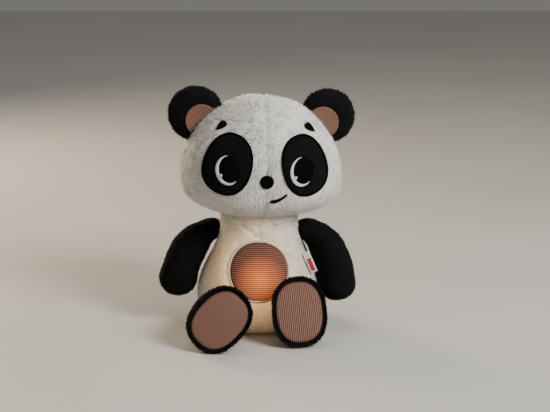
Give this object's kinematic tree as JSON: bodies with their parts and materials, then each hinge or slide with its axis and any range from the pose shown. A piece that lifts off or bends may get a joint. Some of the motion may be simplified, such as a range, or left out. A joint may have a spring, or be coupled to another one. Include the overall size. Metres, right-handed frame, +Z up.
{
  "type": "seated plush panda with belly light",
  "caption": "Seated plush panda: head that turns and nods, swinging limbs, corduroy ears and soles, a lit belly window that presses, light and sound module behind a back flap.",
  "frame": {"origin": "middle of the flat seat under the body, on the table the panda sits on", "axes": "+Z up, +X to the panda's own left, the panda faces -Y"},
  "size_m": [0.1958, 0.1661, 0.2388],
  "materials": {
    "white_plush": "short soft pile, off-white",
    "black_plush": "short soft pile, black",
    "black_patch_plush": "very short pile, black",
    "pink_corduroy": "ribbed corduroy, dusty pink",
    "black_embroidery": "satin stitch thread, black",
    "white_embroidery": "satin stitch thread, white",
    "stuffing": "loose polyester filling",
    "pouch_lining": "woven lining, grey",
    "hook_and_loop": "hook and loop tape",
    "label_tape": "woven tape with a plain red border",
    "milky_plastic": "milky, satin",
    "white_plastic": "satin",
    "board_green": "green solder mask",
    "led_amber": "clear amber",
    "dark_plastic": "satin",
    "cell_wrap": "shrink wrap",
    "spring_steel": "nickel plated"
  },
  "bodies": {
    "body": {"body_cover": "white_plush", "body_stuffing": "stuffing", "module_pouch": "pouch_lining", "loop_strip": "hook_and_loop", "side_label": "label_tape", "front_housing": "white_plastic", "rear_housing": "white_plastic", "battery_1": "cell_wrap", "battery_2": "cell_wrap", "battery_3": "cell_wrap", "circuit_board": "board_green", "led_1": "led_amber", "led_2": "led_amber", "led_3": "led_amber", "press_switch": "dark_plastic", "speaker": "dark_plastic", "reflector": "white_plastic", "housing_screw_1": "spring_steel", "housing_screw_2": "spring_steel", "contact_spring_1": "spring_steel", "contact_spring_2": "spring_steel", "contact_spring_3": "spring_steel", "contact_plate_1": "spring_steel", "contact_plate_2": "spring_steel", "contact_plate_3": "spring_steel"},
    "neck": {"neck_stuffing": "stuffing"},
    "head": {"head_cover": "white_plush", "left_ear": "black_plush", "right_ear": "black_plush", "left_inner_ear": "pink_corduroy", "right_inner_ear": "pink_corduroy", "left_eye_patch": "black_patch_plush", "right_eye_patch": "black_patch_plush", "left_pupil": "black_embroidery", "right_pupil": "black_embroidery", "left_eye_shine": "white_embroidery", "right_eye_shine": "white_embroidery", "nose": "black_embroidery", "mouth": "black_embroidery", "left_brow": "black_embroidery", "right_brow": "black_embroidery", "head_stuffing": "stuffing"},
    "left_arm": {"left_arm_cover": "black_plush", "left_arm_stuffing": "stuffing"},
    "right_arm": {"right_arm_cover": "black_plush", "right_arm_stuffing": "stuffing"},
    "left_leg": {"left_leg_cover": "black_plush", "left_leg_stuffing": "stuffing", "left_sole": "pink_corduroy"},
    "right_leg": {"right_leg_cover": "black_plush", "right_leg_stuffing": "stuffing", "right_sole": "pink_corduroy"},
    "light_button": {"light_button": "milky_plastic", "belly_window": "pink_corduroy"},
    "battery_door": {"battery_door": "white_plastic", "door_screw": "spring_steel"},
    "mode_switch": {"mode_switch": "dark_plastic"},
    "back_flap": {"back_flap": "white_plush", "hook_strip": "hook_and_loop"}
  },
  "joints": [
    {"name": "neck_turn", "type": "hinge", "parent": "body", "child": "neck", "pos_m": [0, 0, 0.1093], "axis": [0, 0, 1], "range_deg": [-25, 25], "stiffness_Nm_per_rad": 0.4},
    {"name": "head_nod", "type": "hinge", "parent": "neck", "child": "head", "pos_m": [0, 0, 0.1093], "axis": [1, 0, 0], "range_deg": [-8, 8], "stiffness_Nm_per_rad": 0.4},
    {"name": "left_arm_raise", "type": "hinge", "parent": "body", "child": "left_arm", "pos_m": [0.047, 0, 0.0955], "axis": [0, -1, 0], "range_deg": [0, 45], "stiffness_Nm_per_rad": 0.12},
    {"name": "right_arm_raise", "type": "hinge", "parent": "body", "child": "right_arm", "pos_m": [-0.047, 0, 0.0955], "axis": [0, 1, 0], "range_deg": [0, 45], "stiffness_Nm_per_rad": 0.12},
    {"name": "left_leg_lift", "type": "hinge", "parent": "body", "child": "left_leg", "pos_m": [0.042, -0.04, 0.0225], "axis": [-0.8192, 0, 0.5736], "range_deg": [0, 25], "stiffness_Nm_per_rad": 0.2},
    {"name": "right_leg_lift", "type": "hinge", "parent": "body", "child": "right_leg", "pos_m": [-0.042, -0.04, 0.0225], "axis": [-0.8192, 0, -0.5736], "range_deg": [0, 25], "stiffness_Nm_per_rad": 0.2},
    {"name": "light_button_press", "type": "slide", "parent": "body", "child": "light_button", "axis": [0, 0.9744, -0.225], "range_m": [0, 0.002], "stiffness_N_per_m": 600},
    {"name": "mode_switch_slide", "type": "slide", "parent": "body", "child": "mode_switch", "axis": [0, 0.225, 0.9744], "range_m": [-0.0025, 0.0025]},
    {"name": "battery_door_lift", "type": "slide", "parent": "body", "child": "battery_door", "axis": [0, 0.9744, -0.225], "range_m": [0, 0.012]},
    {"name": "back_flap_open", "type": "hinge", "parent": "body", "child": "back_flap", "pos_m": [0, 0.04645, 0.086], "axis": [1, 0, 0], "range_deg": [0, 110]}
  ]
}
